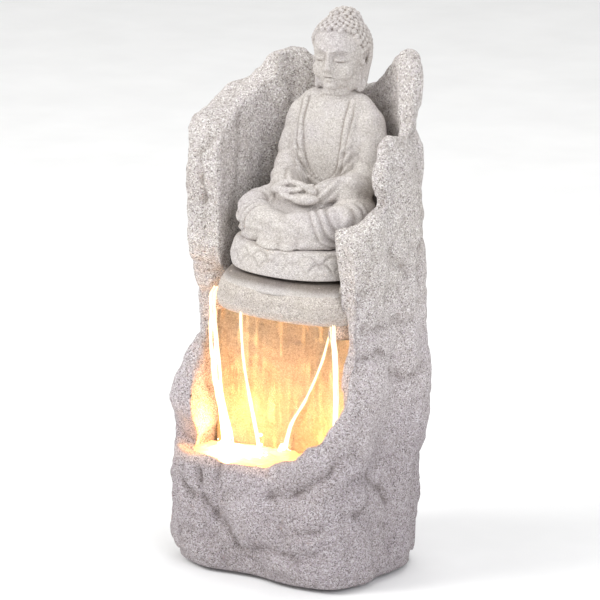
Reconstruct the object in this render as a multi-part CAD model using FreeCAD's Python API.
import FreeCAD, Part
import math
import os

# Tabletop water fountain: a stone-effect resin grotto that holds a water reservoir, a spill bowl on an inner
# ledge, a seated figure on a pedestal that lifts out of the bowl, a curved cascade panel, a small submersible
# pump with its hose, two lamps under the water and a low-voltage inlet in the back.
# Frame: millimetres, +Z up, the front of the fountain faces -Y, origin under the middle of the footprint.

V = FreeCAD.Vector
X_AXIS, Y_AXIS, Z_AXIS = V(1, 0, 0), V(0, 1, 0), V(0, 0, 1)

# ---------------------------------------------------------------- driving dimensions
ROCK_HALF_W = 83.0        # half of the overall width
ROCK_HALF_D = 67.0        # half of the overall depth
ROCK_TOP = 378.0          # top of the spire at the back right
WALL = 9.0                # resin wall round the reservoir
FLOOR_T = 9.5             # resin floor under the water
RIM_Z = 89.0              # lowest point of the basin rim
LEDGE_Z = 194.0           # shelf that carries the spill bowl
LEDGE_T = 10.0
LEDGE_BITE = 5.5          # how far the bowl sits on the shelf
GROTTO_X = 9.5            # the grotto is off-centre, towards the thin right wall
GROTTO_HALF_W = 63.0
GROTTO_BACK = 54.0
FIT = 0.4                 # clearance between castings
OUTLINE_POINTS = 16

FOOT_R = 7.0
FOOT_H = 4.0
FOOT_POCKET = 1.5
FOOT_X, FOOT_Y = 54.0, 40.0

BOWL_H = 28.0
BOWL_FLOOR_T = 7.0
BOWL_RIM_W = 7.5
PEDESTAL_HALF_W = 56.0
PEDESTAL_HALF_D = 48.0
PEDESTAL_H = 21.0
PEDESTAL_GAP = 3.0        # water wells out through this gap
PEDESTAL_LEG_R = 4.0
FIGURE_H = 168.0          # seat to the top of the hair
FIGURE_HALF_W = 52.0      # axis to the outside of a knee
FIGURE_BACK = 30.0        # torso axis behind the middle of the pedestal

PANEL_T = 5.0
PANEL_DEPTH = 12.0        # how far the cascade panel is hollowed
PANEL_Y = -8.0            # its two front edges

COVER_X, COVER_Z = 3.0, 136.0   # middle of the access opening in the back
COVER_W, COVER_H = 66.0, 72.0
COVER_R = 8.0
REBATE = 5.0
GASKET_T = 1.2

PUMP_X, PUMP_Y = 4.0, 36.0      # the stator block starts here; the rotor turns about X
PUMP_BLOCK = (38.0, 30.0, 34.0)
CUP_H = 6.0
VOLUTE_R = 13.5
VOLUTE_L = 12.0
COVER_PLATE = 4.0
O_RING_T = 1.0
DIAL_T = 2.5
DIAL_GAP = 0.15
STUD_R = 2.5
BUSH_L = 3.0
WELL_L = 21.0
MAGNET_R, MAGNET_L = 5.6, 20.0
WELL_R = 6.4
SHAFT_R = 1.0
RUNNING = 0.05
HOSE_R, HOSE_BORE_R = 6.0, 4.5
FITTING_R = 5.5

LED_R, LED_H = 12.0, 16.0
LED_LEFT = (-43.0, -16.0)
LED_RIGHT = (47.0, -16.0)
LEAD_R = 1.4
PUMP_LEAD_R = 1.9
INLET_X, INLET_Z = -47.0, 112.0
INLET_R = 5.5
INLET_NUT_R = 8.0
SPOT_FACE = 1.3           # depth of the flat seats for the inlet in the curved wall

# ---------------------------------------------------------------- sizes worked out from them
ROCK_BOTTOM = FOOT_H - FOOT_POCKET
FLOOR_Z = ROCK_BOTTOM + FLOOR_T
SHELF_Z = LEDGE_Z - LEDGE_T
BOWL_TOP = LEDGE_Z + BOWL_H
PEDESTAL_Z = BOWL_TOP + PEDESTAL_GAP
SEAT_Z = PEDESTAL_Z + PEDESTAL_H
BOWL_HALF_W = GROTTO_HALF_W - FIT
BOWL_FRONT, BOWL_BACK = 50.0, GROTTO_BACK - 6.0
ABOVE = ROCK_TOP + 60.0
OUTSIDE = 2.5 * ROCK_HALF_W

# Reach of the rock from the Z axis at each level, as shares of the half width and half depth:
# (share of the height, left, right, front, back). The left side has a waist beside the cascade.
ROCK_LEVELS = (
    (0.000, 0.93, 0.94, 0.93, 0.93),
    (0.075, 0.98, 0.97, 0.98, 0.97),
    (0.195, 1.00, 0.98, 1.00, 0.98),
    (0.330, 0.96, 0.985, 0.95, 0.99),
    (0.490, 0.885, 0.985, 0.86, 0.99),
    (0.635, 0.93, 0.985, 0.83, 0.98),
    (0.790, 0.96, 0.975, 0.83, 0.97),
    (1.150, 0.93, 0.95, 0.80, 0.95),
)
ROCK_STEP = 0.115         # spacing of the outlines that the rock is lofted through, as a share of its height
ROCK_POWER = 4.0          # squareness of the rock's plan
BOWL_POWER = 2.8


# ---------------------------------------------------------------- shape helpers
def outline(middle, left, right, front, back, z, power):
    """A closed smooth outline: a rounded rectangle whose reach differs on its four sides."""
    points = []
    for i in range(OUTLINE_POINTS):
        turn = 2 * math.pi * i / OUTLINE_POINTS
        c, s = math.cos(turn), math.sin(turn)
        reach_x = right if c > 0 else left
        reach_y = back if s > 0 else front
        x = middle[0] + reach_x * math.copysign(abs(c) ** (2 / power), c)
        y = middle[1] + reach_y * math.copysign(abs(s) ** (2 / power), s)
        points.append(V(x, y, z))
    curve = Part.BSplineCurve()
    curve.interpolate(Points=points, PeriodicFlag=True)
    return Part.Wire([curve.toShape()])


def loft(wires):
    return Part.makeLoft(wires, True, False)


def upright(wire, height):
    """A straight prism that stands on a flat outline."""
    return Part.Face(wire).extrude(V(0, 0, height))


def rod(start, axis, radius, length):
    return Part.makeCylinder(radius, length, start, axis)


def tube(start, axis, outer, bore, length):
    return rod(start, axis, outer, length).cut(rod(start, axis, bore, length))


def hexagon_prism(start, axis, radius, height):
    """A six-sided prism; radius reaches its corners."""
    across = X_AXIS
    other = axis.cross(across)
    turns = [math.pi / 3 * i for i in range(7)]
    corners = [start + across * (radius * math.cos(a)) + other * (radius * math.sin(a)) for a in turns]
    return Part.Face(Part.makePolygon(corners)).extrude(axis * height)


def block(low, high):
    return Part.makeBox(high[0] - low[0], high[1] - low[1], high[2] - low[2], V(*low))


def rounded_block(low, high, radius, axis):
    """A block whose four edges along one axis are rounded."""
    body = block(low, high)
    edges = [e for e in body.Edges if abs(e.tangentAt(e.FirstParameter).dot(axis)) > 0.99]
    return body.makeFillet(radius, edges)


def joined(shapes):
    body = shapes[0]
    for shape in shapes[1:]:
        body = body.fuse(shape)
    return body.removeSplitter()


def rock_reach(z):
    """(left, right, front, back) reach of the rock at a height, between the levels of ROCK_LEVELS."""
    share = (z - ROCK_BOTTOM) / (ROCK_TOP - ROCK_BOTTOM)
    for low, high in zip(ROCK_LEVELS, ROCK_LEVELS[1:]):
        if share <= high[0]:
            break
    t = (share - low[0]) / (high[0] - low[0])
    mixed = [a + t * (b - a) for a, b in zip(low[1:], high[1:])]
    half = (ROCK_HALF_W, ROCK_HALF_W, ROCK_HALF_D, ROCK_HALF_D)
    return [m * h for m, h in zip(mixed, half)]


def rock_outline(z, inset=0.0):
    left, right, front, back = (r - inset for r in rock_reach(z))
    return outline((0, 0), left, right, front, back, z, ROCK_POWER)


def profile_cut(points, plane, start, end):
    """A prism that removes rock: a smooth line through the points, closed far outside it through corners.
    points holds the smooth line, then the word "close" and the far corners. plane is "xz" or "yz"."""
    split = points.index("close")
    place = (lambda p: V(p[0], start, p[1])) if plane == "xz" else (lambda p: V(start, p[0], p[1]))
    smooth = [place(p) for p in points[:split]]
    corners = [place(p) for p in points[split + 1:]]
    curve = Part.BSplineCurve()
    curve.interpolate(Points=smooth)
    edges = [curve.toShape()]
    path = [smooth[-1]] + corners + [smooth[0]]
    edges += [Part.LineSegment(a, b).toShape() for a, b in zip(path, path[1:])]
    face = Part.Face(Part.Wire(edges))
    along = V(0, end - start, 0) if plane == "xz" else V(end - start, 0, 0)
    return face.extrude(along)


def rounded_route(name, points, radius):
    """A round tube along straight runs joined by tangent arcs. Each arc is as large as its two runs allow."""
    points = [V(*p) for p in points]
    edges, here, radii = [], points[0], []
    for before, corner, after in zip(points, points[1:], points[2:]):
        into, out = (corner - before), (after - corner)
        shorter = min(into.Length, out.Length)
        into.normalize()
        out.normalize()
        half_turn = into.getAngle(out) / 2
        reach = 0.45 * shorter
        bend = reach / math.tan(half_turn)
        radii.append(round(bend, 1))
        first, last = corner - into * reach, corner + out * reach
        towards = out - into
        towards.normalize()
        middle = corner + towards * (bend / math.cos(half_turn) - bend)
        edges.append(Part.LineSegment(here, first).toShape())
        edges.append(Part.Arc(first, middle, last).toShape())
        here = last
    edges.append(Part.LineSegment(here, points[-1]).toShape())
    path = Part.Wire(edges)
    direction = points[1] - points[0]
    ring = Part.Wire([Part.makeCircle(radius, points[0], direction)])
    solid = path.makePipeShell([ring], True, True)
    share = solid.Volume / (math.pi * radius ** 2 * path.Length)
    print(f"{name}: bend radii {radii} mm, length {path.Length:.1f} mm, volume share {share:.3f}")
    return solid


# ---------------------------------------------------------------- the rock casting
def rock_blank():
    count = round(ROCK_LEVELS[-1][0] / ROCK_STEP)
    step = ROCK_STEP * (ROCK_TOP - ROCK_BOTTOM)
    return loft([rock_outline(ROCK_BOTTOM + i * step) for i in range(count + 1)])


def reservoir_space():
    """Water space and pump chamber: everything inside the wall, from the floor up to the ledge."""
    heights = (FLOOR_Z, 0.35 * SHELF_Z, 0.70 * SHELF_Z, SHELF_Z)
    return loft([rock_outline(z, WALL) for z in heights])


def grotto_outline(z, inset=0.0):
    half, back = GROTTO_HALF_W - inset, GROTTO_BACK - inset
    return outline((GROTTO_X, 0), half, half, back, back, z, BOWL_POWER)


def ledge_space():
    inset = LEDGE_BITE + FIT
    return upright(grotto_outline(SHELF_Z - 1, inset), LEDGE_T + 2)


def front_cut():
    """Opens the front over the basin: a level rim that climbs in a ramp to the edge of the right wall."""
    wall_x = GROTTO_X + GROTTO_HALF_W
    line = [
        (wall_x - 52, RIM_Z), (wall_x - 38, RIM_Z + 5), (wall_x - 20, RIM_Z + 15),
        (wall_x - 7, RIM_Z + 32), (wall_x, RIM_Z + 62),
    ]
    corners = ["close", (wall_x, ABOVE), (-OUTSIDE, ABOVE), (-OUTSIDE, RIM_Z)]
    return profile_cut(line + corners, "xz", -OUTSIDE, -0.58 * ROCK_HALF_D)


def left_cut():
    """Front edge and top of the left wall: a shoulder, a waist beside the cascade and a leaning slab."""
    d = ROCK_HALF_D
    line = [
        (-1.02 * d, RIM_Z + 2), (-0.86 * d, RIM_Z + 9), (-0.68 * d, RIM_Z + 31), (-0.44 * d, RIM_Z + 56),
        (-0.22 * d, RIM_Z + 69), (-0.12 * d, LEDGE_Z - 18), (-0.12 * d, LEDGE_Z + 2),
        (-0.28 * d, LEDGE_Z + 20), (-0.38 * d, LEDGE_Z + 42), (-0.38 * d, LEDGE_Z + 84),
        (-0.35 * d, ROCK_TOP - 66), (-0.12 * d, ROCK_TOP - 52), (0.25 * d, ROCK_TOP - 38),
        (0.55 * d, ROCK_TOP - 25), (0.75 * d, ROCK_TOP - 10),
    ]
    corners = ["close", (0.75 * d, ABOVE), (-OUTSIDE, ABOVE), (-OUTSIDE, RIM_Z + 2)]
    return profile_cut(line + corners, "yz", -OUTSIDE, GROTTO_X - 0.87 * GROTTO_HALF_W)


def right_cut():
    """Top of the right wall: a step back, a rounded pillar and the foot of the spire."""
    d = ROCK_HALF_D
    line = [
        (-1.1 * d, LEDGE_Z + 62), (-0.66 * d, LEDGE_Z + 69), (-0.38 * d, LEDGE_Z + 78),
        (-0.2 * d, LEDGE_Z + 89), (-0.24 * d, LEDGE_Z + 106), (-0.16 * d, LEDGE_Z + 122),
        (0.06 * d, LEDGE_Z + 134), (0.34 * d, LEDGE_Z + 131), (0.46 * d, LEDGE_Z + 146),
        (0.52 * d, ROCK_TOP + 2),
    ]
    corners = ["close", (0.52 * d, ABOVE), (-OUTSIDE, ABOVE), (-OUTSIDE, LEDGE_Z + 62)]
    return profile_cut(line + corners, "yz", 0.6 * ROCK_HALF_W, OUTSIDE)


def back_cut():
    """Skyline of the back wall: high on the left, a dip behind the figure and a spire on the right."""
    w = ROCK_HALF_W
    line = [
        (-1.2 * w, ROCK_TOP - 46), (-0.86 * w, ROCK_TOP - 27), (-0.62 * w, ROCK_TOP - 9),
        (-0.3 * w, ROCK_TOP - 11), (0.02 * w, ROCK_TOP - 27), (0.27 * w, ROCK_TOP - 30),
        (0.52 * w, ROCK_TOP - 14), (0.78 * w, ROCK_TOP), (0.93 * w, ROCK_TOP - 9), (1.2 * w, ROCK_TOP - 50),
    ]
    corners = ["close", (1.2 * w, ABOVE), (-1.2 * w, ABOVE)]
    return profile_cut(line + corners, "xz", 0.42 * ROCK_HALF_D, OUTSIDE)


def access_prism(inset, y_start, y_end):
    """The access opening's outline, extruded along Y."""
    half_w, half_h = COVER_W / 2 - inset, COVER_H / 2 - inset
    low = (COVER_X - half_w, y_start, COVER_Z - half_h)
    high = (COVER_X + half_w, y_end, COVER_Z + half_h)
    return rounded_block(low, high, COVER_R - min(inset, COVER_R / 2), Y_AXIS)


def rebate_y():
    """The plane of the step that stops the rear cover, half way through the wall."""
    return rock_reach(COVER_Z)[3] - WALL / 2


def foot_places():
    return [(sx * FOOT_X, sy * FOOT_Y) for sx in (-1, 1) for sy in (-1, 1)]


def rock_body():
    body = rock_blank()
    body = body.cut(reservoir_space())
    grotto = upright(grotto_outline(LEDGE_Z), ABOVE - LEDGE_Z)
    body = body.cut(ledge_space()).cut(grotto)
    for cut in (front_cut(), left_cut(), right_cut(), back_cut()):
        body = body.cut(cut)
    inner = access_prism(REBATE, 0.5 * ROCK_HALF_D, OUTSIDE)
    outer = access_prism(0, rebate_y(), OUTSIDE)
    body = body.cut(inner).cut(outer)
    inner, out = inlet_wall()
    body = body.cut(rod(V(INLET_X, inner - 20, INLET_Z), Y_AXIS, INLET_NUT_R + 1.5, 20 + SPOT_FACE))
    body = body.cut(rod(V(INLET_X, out - SPOT_FACE, INLET_Z), Y_AXIS, INLET_R + 2.6, 20))
    body = body.cut(rod(V(INLET_X, inner, INLET_Z), Y_AXIS, INLET_R + 0.1, 20))
    for x, y in foot_places():
        body = body.cut(rod(V(x, y, ROCK_BOTTOM - 1), Z_AXIS, FOOT_R + 0.1, FOOT_POCKET + 1))
    pieces = sorted(body.Solids, key=lambda s: s.Volume)
    return pieces[-1]


def feet():
    def foot(x, y):
        pad = rod(V(x, y, 0), Z_AXIS, FOOT_R, FOOT_H)
        return pad.makeFillet(0.8, [e for e in pad.Edges if e.BoundBox.ZMax < 0.1])
    return Part.makeCompound([foot(x, y) for x, y in foot_places()])


def rear_cover():
    """A stone-effect plate that follows the rock's outside and stops on the rebate, with a finger scoop."""
    seat = rebate_y() + GASKET_T
    plate = rock_blank().common(access_prism(FIT, seat, OUTSIDE))
    scoop_r = 9.0
    top = COVER_Z + COVER_H / 2
    scoop = Part.makeSphere(scoop_r, V(COVER_X, rock_reach(top)[3] + scoop_r - 2.5, top - 1))
    return plate.cut(scoop)


def cover_gasket():
    low = rebate_y()
    ring = access_prism(FIT, low, low + GASKET_T)
    return ring.cut(access_prism(REBATE, low - 1, low + GASKET_T + 1))


# ---------------------------------------------------------------- spill bowl, pedestal and figure
def bowl_outline(z, inset):
    half = BOWL_HALF_W - inset
    return outline((GROTTO_X, 0), half, half, BOWL_FRONT - inset, BOWL_BACK - inset, z, BOWL_POWER)


def fitting_place():
    return V(GROTTO_X, 0.4 * BOWL_BACK, LEDGE_Z)


def spill_bowl():
    levels = ((0, 2.6), (0.3, 0.3), (0.62, 0), (0.85, 1.4), (1.0, 4.5))
    dish = loft([bowl_outline(LEDGE_Z + share * BOWL_H, inset) for share, inset in levels])
    floor = LEDGE_Z + BOWL_FLOOR_T
    well_wires = [
        bowl_outline(floor, BOWL_RIM_W + 8), bowl_outline(floor + 8, BOWL_RIM_W + 4.5),
        bowl_outline(BOWL_TOP + 1, BOWL_RIM_W + 3),
    ]
    dish = dish.cut(loft(well_wires))
    for degrees in (208, 262, 322):
        turn = math.radians(degrees)
        out = V(math.cos(turn), math.sin(turn), 0)
        start = V(GROTTO_X, 0, BOWL_TOP + 2) + out * (0.5 * BOWL_FRONT)
        dish = dish.cut(rod(start, out, 6.5, BOWL_HALF_W))
    hole = rod(fitting_place() - V(0, 0, 1), Z_AXIS, FITTING_R + 0.15, BOWL_FLOOR_T + 2)
    return dish.cut(hole)


def bowl_fitting():
    """A flanged stem through the bowl's floor, with a barb for the hose under it."""
    place = fitting_place()
    floor = LEDGE_Z + BOWL_FLOOR_T
    flange = rod(V(place.x, place.y, floor), Z_AXIS, 9.0, 2.5)
    stem = rod(V(place.x, place.y, LEDGE_Z - 8), Z_AXIS, FITTING_R, BOWL_FLOOR_T + 8)
    barb = rod(V(place.x, place.y, LEDGE_Z - 22), Z_AXIS, HOSE_BORE_R, 14)
    bore = rod(V(place.x, place.y, LEDGE_Z - 30), Z_AXIS, HOSE_BORE_R - 1.5, 50)
    return joined([flange, stem, barb]).cut(bore)


def bowl_fitting_nut():
    place = fitting_place()
    height = 5.0
    nut = hexagon_prism(V(place.x, place.y, LEDGE_Z - height), Z_AXIS, 9.0, height)
    return nut.cut(rod(V(place.x, place.y, LEDGE_Z - 9), Z_AXIS, FITTING_R, 12))


def pedestal_outline(z, inset):
    half_w, half_d = PEDESTAL_HALF_W - inset, PEDESTAL_HALF_D - inset
    return outline((GROTTO_X, 0), half_w, half_w, half_d, half_d, z, 2.3)


def pedestal():
    """A thick rounded disc on four legs that stand in the bowl's well."""
    levels = ((0, 2.0), (0.25, 0), (0.6, 0.5), (1.0, 4.5))
    disc = loft([pedestal_outline(PEDESTAL_Z + share * PEDESTAL_H, inset) for share, inset in levels])
    leg_z = LEDGE_Z + BOWL_FLOOR_T
    legs = [
        rod(V(GROTTO_X + sx * 0.55 * PEDESTAL_HALF_W, sy * 0.42 * PEDESTAL_HALF_D, leg_z),
            Z_AXIS, PEDESTAL_LEG_R, PEDESTAL_Z - leg_z + 5)
        for sx in (-1, 1) for sy in (-1, 1)
    ]
    return joined([disc] + legs)


def ellipse_loft(levels):
    """A solid through level ellipses, each (x, y, z, half width, half depth)."""
    wires = []
    for x, y, z, half_w, half_d in levels:
        wires.append(outline((x, y), half_w, half_w, half_d, half_d, z, 2.0))
    return loft(wires)


def seated_figure():
    """A cross-legged figure with folded hands: lap, torso, arms, neck, head and bun of curls."""
    h, w = FIGURE_H, FIGURE_HALF_W
    x, y, z = GROTTO_X + 0.07 * w, FIGURE_BACK, SEAT_Z
    knees_x, knees_y = GROTTO_X, FIGURE_BACK - 0.7 * w
    lap = ellipse_loft([
        (knees_x, knees_y, z, w * 0.93, w * 0.62), (knees_x, knees_y, z + 0.055 * h, w, w * 0.68),
        (knees_x, knees_y + 2, z + 0.12 * h, w * 0.95, w * 0.62),
        (knees_x, knees_y + 8, z + 0.19 * h, w * 0.72, w * 0.44),
    ])
    torso = ellipse_loft([
        (x, y, z, w * 0.6, w * 0.38), (x, y, z + 0.14 * h, w * 0.55, w * 0.37),
        (x, y, z + 0.28 * h, w * 0.52, w * 0.36), (x, y - 1, z + 0.42 * h, w * 0.6, w * 0.36),
        (x, y - 1, z + 0.54 * h, w * 0.58, w * 0.33), (x, y, z + 0.61 * h, w * 0.36, w * 0.24),
        (x, y - 1, z + 0.68 * h, w * 0.2, w * 0.2),
    ])
    head = ellipse_loft([
        (x, y - 2, z + 0.64 * h, w * 0.18, w * 0.2), (x, y - 3, z + 0.7 * h, w * 0.33, w * 0.36),
        (x, y - 2, z + 0.78 * h, w * 0.41, w * 0.43), (x, y - 1, z + 0.86 * h, w * 0.39, w * 0.41),
        (x, y, z + 0.93 * h, w * 0.24, w * 0.25),
    ])
    top = Part.makeSphere(0.09 * h, V(x, y, z + 0.91 * h))
    parts = [lap, torso, head, top]
    for side in (-1, 1):
        shoulder = V(x + side * 0.55 * w, y, z + 0.52 * h)
        elbow = V(x + side * 0.66 * w, y - 0.16 * w, z + 0.26 * h)
        hand = V(x + side * 0.1 * w, y - 0.68 * w, z + 0.2 * h)
        for a, b, r in ((shoulder, elbow, 0.2 * w), (elbow, hand, 0.15 * w)):
            parts += [rod(a, b - a, r, (b - a).Length), Part.makeSphere(r, a), Part.makeSphere(r, b)]
    return joined(parts)


# ---------------------------------------------------------------- cascade panel
def panel_span():
    """Left and right ends of the panel: the inside of the reservoir where it is narrowest."""
    ends = []
    for z in (FLOOR_Z, SHELF_Z):
        left, right, front, _ = (r - WALL for r in rock_reach(z))
        share = (1 - (abs(PANEL_Y) / front) ** ROCK_POWER) ** (1 / ROCK_POWER)
        ends.append((left * share, right * share))
    gap = 4 * FIT
    return -min(e[0] for e in ends) + gap, min(e[1] for e in ends) - gap


def half_arc(x0, x1, depth, y):
    """The back half of an ellipse, from (x0, y) round to (x1, y), at the floor."""
    middle = V((x0 + x1) / 2, y, FLOOR_Z)
    ellipse = Part.Ellipse(middle, (x1 - x0) / 2, depth)
    return Part.ArcOfEllipse(ellipse, 0, math.pi).toShape()


def cascade_panel():
    x0, x1 = panel_span()
    outer = half_arc(x0, x1, PANEL_DEPTH + PANEL_T, PANEL_Y)
    inner = half_arc(x0 + PANEL_T, x1 - PANEL_T, PANEL_DEPTH, PANEL_Y)
    floor = FLOOR_Z
    edges = [outer, inner]
    edges.append(Part.LineSegment(V(x0, PANEL_Y, floor), V(x0 + PANEL_T, PANEL_Y, floor)).toShape())
    edges.append(Part.LineSegment(V(x1 - PANEL_T, PANEL_Y, floor), V(x1, PANEL_Y, floor)).toShape())
    wire = Part.Wire(Part.__sortEdges__(edges))
    below_shelf = upright(wire, SHELF_Z - FIT - floor)
    neck = upright(grotto_outline(SHELF_Z - FIT - 1, LEDGE_BITE + 2 * FIT), LEDGE_T + 1)
    panel = joined([below_shelf, upright(wire, LEDGE_Z - FIT - floor).common(neck)])
    for x in (LED_LEFT[0] + 18, LED_RIGHT[0]):
        notch = block((x - 8, PANEL_Y - 5, floor - 1), (x + 8, PANEL_Y + 60, floor + 14))
        panel = panel.cut(notch)
    return panel


# ---------------------------------------------------------------- pump
def pump_axis(x):
    return V(x, PUMP_Y, FLOOR_Z + CUP_H + PUMP_BLOCK[2] / 2)


def outlet_x():
    return PUMP_X - VOLUTE_L / 2




def pump_housing():
    low = (PUMP_X, PUMP_Y - PUMP_BLOCK[1] / 2, FLOOR_Z + CUP_H)
    high = (PUMP_X + PUMP_BLOCK[0], PUMP_Y + PUMP_BLOCK[1] / 2, FLOOR_Z + CUP_H + PUMP_BLOCK[2])
    shell = rounded_block(low, high, 4.0, X_AXIS)
    wall = 1.6
    inside = block(
        (PUMP_X + wall, low[1] + wall, low[2] + wall),
        (high[0] + 1, high[1] - wall, high[2] - wall),
    )
    well = rod(pump_axis(PUMP_X), X_AXIS, WELL_R + 1.2, WELL_L + BUSH_L + 1.2)
    volute = rod(pump_axis(PUMP_X - VOLUTE_L), X_AXIS, VOLUTE_R, VOLUTE_L)
    out = outlet_x()
    spout_top = FLOOR_Z + CUP_H + PUMP_BLOCK[2] + 12
    axis_z = pump_axis(0).z
    spout = rod(V(out, PUMP_Y, axis_z + VOLUTE_R - 4), Z_AXIS, HOSE_BORE_R, spout_top - axis_z - VOLUTE_R + 4)
    body = joined([shell.cut(inside), well, volute, spout])
    body = body.cut(rod(pump_axis(PUMP_X - VOLUTE_L - 1), X_AXIS, VOLUTE_R - 2, VOLUTE_L + 1))
    body = body.cut(rod(pump_axis(PUMP_X - 1), X_AXIS, WELL_R, WELL_L + 1))
    body = body.cut(rod(pump_axis(PUMP_X + WELL_L - 1), X_AXIS, 3.5, BUSH_L + 1))
    return body.cut(rod(V(out, PUMP_Y, axis_z), Z_AXIS, HOSE_BORE_R - 1.3, PUMP_BLOCK[2] + 20))


def inlet_holes(x, length, radius):
    """Six round holes through the pump's front cover or its dial."""
    holes = []
    for i in range(6):
        turn = math.pi / 3 * i
        centre = pump_axis(x) + V(0, 7.2 * math.cos(turn), 7.2 * math.sin(turn))
        holes.append(rod(centre, X_AXIS, radius, length))
    return holes


def pump_front_cover():
    """The plate that closes the volute, with inlet holes, a bush seat and the stud the dial turns on."""
    x = PUMP_X - VOLUTE_L - COVER_PLATE
    plate = rod(pump_axis(x), X_AXIS, VOLUTE_R, COVER_PLATE)
    plate = plate.cut(rod(pump_axis(x + 1), X_AXIS, 3.0, COVER_PLATE))
    for hole in inlet_holes(x - 1, COVER_PLATE + 2, 1.7):
        plate = plate.cut(hole)
    groove = tube(pump_axis(x + COVER_PLATE - O_RING_T), X_AXIS, VOLUTE_R - 0.4, VOLUTE_R - 1.6, O_RING_T)
    stud_l = DIAL_T + 2 * DIAL_GAP
    stud = rod(pump_axis(x - stud_l), X_AXIS, STUD_R, stud_l)
    head = rod(pump_axis(x - stud_l - 0.8), X_AXIS, STUD_R + 0.7, 0.8)
    return joined([plate.cut(groove), stud, head])


def cover_o_ring():
    x = PUMP_X - VOLUTE_L - O_RING_T
    return tube(pump_axis(x), X_AXIS, VOLUTE_R - 0.4, VOLUTE_R - 1.6, O_RING_T)


def flow_dial():
    """A disc that turns on the front cover's stud and covers more or less of each inlet hole."""
    x = PUMP_X - VOLUTE_L - COVER_PLATE - DIAL_T - DIAL_GAP
    dial = rod(pump_axis(x), X_AXIS, VOLUTE_R - 2.5, DIAL_T)
    dial = dial.cut(rod(pump_axis(x - 1), X_AXIS, STUD_R + RUNNING, DIAL_T + 2))
    for hole in inlet_holes(x - 1, DIAL_T + 2, 1.9):
        dial = dial.cut(hole)
    axis = pump_axis(0)
    finger = block((x - 3, PUMP_Y - 1.2, axis.z + STUD_R + 2), (x, PUMP_Y + 1.2, axis.z + VOLUTE_R - 3))
    return joined([dial, finger])


def impeller():
    """Six straight vanes on a disc, with a hollow sleeve that carries the magnet."""
    x = PUMP_X - VOLUTE_L + 1.5
    disc_t, vane_l = 2.0, 5.0
    disc = rod(pump_axis(x + vane_l), X_AXIS, 8.5, disc_t)
    sleeve = rod(pump_axis(x + vane_l + disc_t), X_AXIS, 2.6, MAGNET_L + 3.0)
    hub = rod(pump_axis(x), X_AXIS, 2.6, vane_l)
    vanes = []
    for i in range(6):
        middle_z = pump_axis(0).z
        vane = block((x, PUMP_Y - 0.6, middle_z + 1.5), (x + vane_l, PUMP_Y + 0.6, middle_z + 9.3))
        vane.rotate(pump_axis(0), X_AXIS, 60 * i)
        vanes.append(vane)
    wheel = joined([disc, sleeve, hub] + vanes)
    return wheel.cut(rod(pump_axis(x - 1), X_AXIS, SHAFT_R + RUNNING, 60))


def rotor_magnet():
    start = PUMP_X - VOLUTE_L + 1.5 + 5.0 + 2.0
    return tube(pump_axis(start), X_AXIS, MAGNET_R, 2.6, MAGNET_L)


def bush(x, radius):
    return tube(pump_axis(x), X_AXIS, radius, SHAFT_R, BUSH_L)


def shaft_bush_front():
    return bush(PUMP_X - VOLUTE_L - BUSH_L, 3.0)


def shaft_bush_rear():
    return bush(PUMP_X + WELL_L, 3.5)


def rotor_shaft():
    start, end = PUMP_X - VOLUTE_L - BUSH_L, PUMP_X + WELL_L + BUSH_L
    return rod(pump_axis(start), X_AXIS, SHAFT_R, end - start)


def core_leg():
    """(low corner, high corner) of the stator core's back leg, behind the rotor well."""
    axis = pump_axis(0)
    reach = WELL_R + 1.4 + 1.0
    x = PUMP_X + WELL_L + BUSH_L + 1.2 + 3.3
    return (x, PUMP_Y - 3, axis.z - reach), (x + 3.5, PUMP_Y + 3, axis.z + reach)


def stator_core():
    """Two steel poles above and below the rotor well, joined behind it."""
    axis = pump_axis(0)
    low, high = core_leg()
    near, thick, half_w = WELL_R + 1.4, 4.0, 7.0
    poles = [
        block((PUMP_X + 3, PUMP_Y - half_w, axis.z + z), (high[0], PUMP_Y + half_w, axis.z + z + thick))
        for z in (near, -near - thick)
    ]
    return joined(poles + [block(low, high)])


def stator_coil():
    """Copper winding round the core's back leg."""
    low, high = core_leg()
    middle_z, wound = pump_axis(0).z, 2.5
    outer = block(
        (low[0] - wound, low[1] - wound, middle_z - WELL_R),
        (high[0] + wound, high[1] + wound, middle_z + WELL_R),
    )
    return outer.cut(block(low, high))


def potting_cap():
    """The resin face that seals the coil space, where the pump's lead comes out."""
    wall = 1.6
    low = (PUMP_X + PUMP_BLOCK[0] - 2.5, PUMP_Y - PUMP_BLOCK[1] / 2 + wall, FLOOR_Z + CUP_H + wall)
    high = (PUMP_X + PUMP_BLOCK[0], PUMP_Y + PUMP_BLOCK[1] / 2 - wall, FLOOR_Z + CUP_H + PUMP_BLOCK[2] - wall)
    return block(low, high)


def pump_suction_cups():
    def cup(x, y):
        lower = Part.makeCone(5.0, 2.2, CUP_H - 2, V(x, y, FLOOR_Z), Z_AXIS)
        return joined([lower, rod(V(x, y, FLOOR_Z + CUP_H - 2), Z_AXIS, 2.2, 2)])
    return Part.makeCompound([
        cup(PUMP_X + along, PUMP_Y + side * (PUMP_BLOCK[1] / 2 - 6))
        for along in (6, PUMP_BLOCK[0] - 6) for side in (-1, 1)
    ])


def hose_ends():
    start = V(outlet_x(), PUMP_Y, FLOOR_Z + CUP_H + PUMP_BLOCK[2] + 1)
    place = fitting_place()
    return start, V(place.x, place.y, LEDGE_Z - 8)


def hose():
    start, end = hose_ends()
    rise = end.z - start.z
    route = [start, (start.x, start.y, start.z + 0.32 * rise), (end.x, end.y, start.z + 0.66 * rise), end]
    outer = rounded_route("hose", route, HOSE_R)
    bore = rounded_route("hose bore", route, HOSE_BORE_R)
    return outer.cut(bore)


def hose_clip():
    start, _ = hose_ends()
    return tube(V(start.x, start.y, start.z + 3), Z_AXIS, HOSE_R + 1.3, HOSE_R, 4.0)


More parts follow.
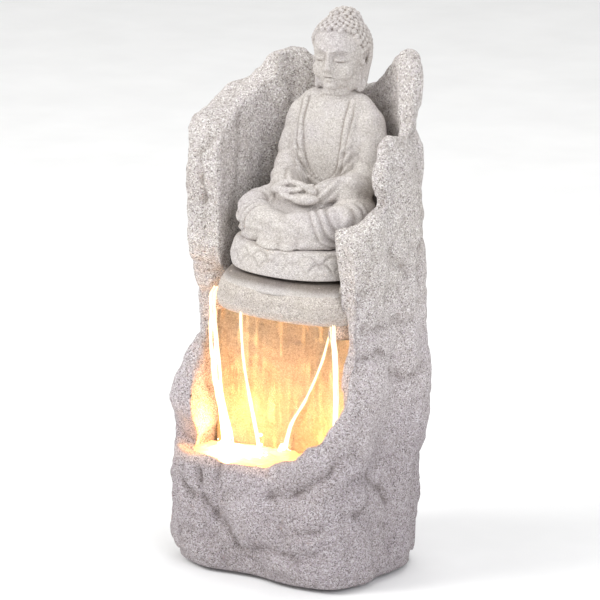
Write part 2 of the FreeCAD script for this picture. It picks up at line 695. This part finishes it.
# ---------------------------------------------------------------- lamps
def lamp_blank(place):
    return rod(V(place[0], place[1], FLOOR_Z), Z_AXIS, LED_R, LED_H)


def led_housing(place):
    base = lamp_blank(place)
    base = base.makeFillet(1.5, [e for e in base.Edges if e.BoundBox.ZMax < FLOOR_Z + 0.1])
    base = base.cut(rod(V(place[0], place[1], FLOOR_Z + 3), Z_AXIS, LED_R - 3.5, LED_H))
    return base.cut(rod(V(place[0], place[1], FLOOR_Z + 9), Z_AXIS, LED_R - 1.6, LED_H))


def led_board(place):
    z = FLOOR_Z + 9
    board = rod(V(place[0], place[1], z), Z_AXIS, LED_R - 1.8, 1.4)
    chips = []
    for i in range(3):
        turn = 2 * math.pi / 3 * i
        x, y = place[0] + 4.5 * math.cos(turn), place[1] + 4.5 * math.sin(turn)
        chips.append(block((x - 1.4, y - 1.4, z + 1.4), (x + 1.4, y + 1.4, z + 2.2)))
    return joined([board] + chips)


def led_lens(place):
    """A clear cap with a skirt that holds the board down and a low dome."""
    z, top = FLOOR_Z + 10.4, FLOOR_Z + LED_H
    radius = LED_R - 1.8
    cap = rod(V(place[0], place[1], z), Z_AXIS, radius, top - z)
    cap = cap.cut(rod(V(place[0], place[1], z - 1), Z_AXIS, radius - 1.2, top - z - 1))
    ball_r = 2.2 * radius
    ball = Part.makeSphere(ball_r, V(place[0], place[1], top + 1.6 - ball_r))
    return joined([cap, ball.common(rod(V(place[0], place[1], top - 1.0), Z_AXIS, radius, 4))])


# ---------------------------------------------------------------- wiring
def inlet_wall():
    """(inside, outside) Y of the back wall on the inlet's axis, from the rock's plan."""
    left, _, _, back = rock_reach(INLET_Z)
    out = back * (1 - (abs(INLET_X) / left) ** ROCK_POWER) ** (1 / ROCK_POWER)
    inner = (back - WALL) * (1 - (abs(INLET_X) / (left - WALL)) ** ROCK_POWER) ** (1 / ROCK_POWER)
    return inner, out


def power_inlet():
    """A round low-voltage socket: flange outside, barrel through the wall, centre pin in its bore."""
    inner, out = inlet_wall()
    face, flange_t, depth = out - SPOT_FACE, 2.0, 9.5
    flange = rod(V(INLET_X, face, INLET_Z), Y_AXIS, INLET_R + 2.0, flange_t)
    barrel = rod(V(INLET_X, inner - 8, INLET_Z), Y_AXIS, INLET_R, face - inner + 8)
    bottom = V(INLET_X, face + flange_t - depth, INLET_Z)
    bored = joined([flange, barrel]).cut(rod(bottom, Y_AXIS, 2.8, depth + 1))
    return joined([bored, rod(bottom - V(0, 1, 0), Y_AXIS, 1.0, depth - 1)])


def power_inlet_nut():
    inner, _ = inlet_wall()
    thick = 3.0
    nut = hexagon_prism(V(INLET_X, inner + SPOT_FACE - thick, INLET_Z), Y_AXIS, INLET_NUT_R, thick)
    return nut.cut(rod(V(INLET_X, inner - 12, INLET_Z), Y_AXIS, INLET_R, 20))


def splice_box():
    """(low corner, high corner) of the sealed block where the three leads meet the inlet."""
    inner, _ = inlet_wall()
    back = inner - 8
    return (INLET_X - 7, back - 12, INLET_Z - 7), (INLET_X + 7, back, INLET_Z + 7)


def lead_splice():
    low, high = splice_box()
    return rounded_block(low, high, 2.0, Y_AXIS)


def pump_lead():
    """From the potting cap, up beside the pump and across the back to the splice."""
    low, high = splice_box()
    start = pump_axis(PUMP_X + PUMP_BLOCK[0]) + V(0, 0, 5)
    end = V(high[0], low[1] + 7, INLET_Z - 1)
    side, rear = 30.0 - WALL, 20.0 - WALL
    route = [
        start, start + V(0.7 * side, 0.1 * rear, 2), start + V(side, 0.4 * rear, 13),
        start + V(side - 3, 0.7 * rear, 30), start + V(4, rear, 46),
        end + V(62, 7, -13), end + V(36, 6, -7), end + V(16, 2, -2), end,
    ]
    return rounded_route("pump_lead", route, PUMP_LEAD_R).cut(lead_splice()).cut(potting_cap())


def led_lead_left():
    """Out of the lamp's side, through the panel's notch and up the back to the splice."""
    low, _ = splice_box()
    side = LED_R * math.sqrt(0.5)
    start = V(LED_LEFT[0] + side, LED_LEFT[1] + side, FLOOR_Z + 6)
    end = V(INLET_X - 3, low[1] + 5, low[2])
    route = [
        start, start + V(9, 9, 0), start + V(11.5, 25.5, 1), start + V(6.5, 41, 10), start + V(-1.5, 49, 28),
        end + V(5, 1, -31), end + V(0, 0, -13), end,
    ]
    return rounded_route("led_lead_left", route, LEAD_R).cut(lead_splice()).cut(lamp_blank(LED_LEFT))


def led_lead_right():
    """Through the panel's right notch, between panel and pump, and up the left side to the splice."""
    low, _ = splice_box()
    start = V(LED_RIGHT[0], LED_RIGHT[1] + LED_R, FLOOR_Z + 6)
    end = V(INLET_X + 3, low[1] + 5, low[2])
    behind_panel = PANEL_Y + PANEL_DEPTH + PANEL_T + 6
    route = [
        start, start + V(-2, 12, 0.5), V(start.x - 14, behind_panel, start.z + 2),
        V(start.x - 34, behind_panel + 1, start.z + 4), V(start.x - 56, behind_panel + 1, start.z + 12),
        V(start.x - 72, behind_panel + 5, start.z + 30), end + V(8, -13, -36), end + V(0.5, -1, -16), end,
    ]
    return rounded_route("led_lead_right", route, LEAD_R).cut(lead_splice()).cut(lamp_blank(LED_RIGHT))


# ---------------------------------------------------------------- export
NODES = {
    "rock_body": rock_body,
    "rubber_feet": feet,
    "rear_cover": rear_cover,
    "rear_cover_gasket": cover_gasket,
    "spill_bowl": spill_bowl,
    "bowl_fitting": bowl_fitting,
    "bowl_fitting_nut": bowl_fitting_nut,
    "pedestal": pedestal,
    "seated_figure": seated_figure,
    "cascade_panel": cascade_panel,
    "pump_housing": pump_housing,
    "pump_front_cover": pump_front_cover,
    "cover_o_ring": cover_o_ring,
    "flow_dial": flow_dial,
    "impeller": impeller,
    "rotor_magnet": rotor_magnet,
    "rotor_shaft": rotor_shaft,
    "shaft_bush_front": shaft_bush_front,
    "shaft_bush_rear": shaft_bush_rear,
    "stator_core": stator_core,
    "stator_coil": stator_coil,
    "potting_cap": potting_cap,
    "pump_suction_cups": pump_suction_cups,
    "hose": hose,
    "hose_clip": hose_clip,
    "led_housing_left": lambda: led_housing(LED_LEFT),
    "led_housing_right": lambda: led_housing(LED_RIGHT),
    "led_board_left": lambda: led_board(LED_LEFT),
    "led_board_right": lambda: led_board(LED_RIGHT),
    "led_lens_left": lambda: led_lens(LED_LEFT),
    "led_lens_right": lambda: led_lens(LED_RIGHT),
    "power_inlet": power_inlet,
    "power_inlet_nut": power_inlet_nut,
    "lead_splice": lead_splice,
    "pump_lead": pump_lead,
    "led_lead_left": led_lead_left,
    "led_lead_right": led_lead_right,
}

os.makedirs("parts", exist_ok=True)
for node, make in NODES.items():
    shape = make()
    if not shape.isValid() or not shape.Solids:
        raise ValueError(f"{node} is not a valid solid")
    shape.exportStep(f"parts/{node}.step")
    print(f"{node}: {len(shape.Solids)} solid, {shape.Volume / 1000:.2f} cm3")
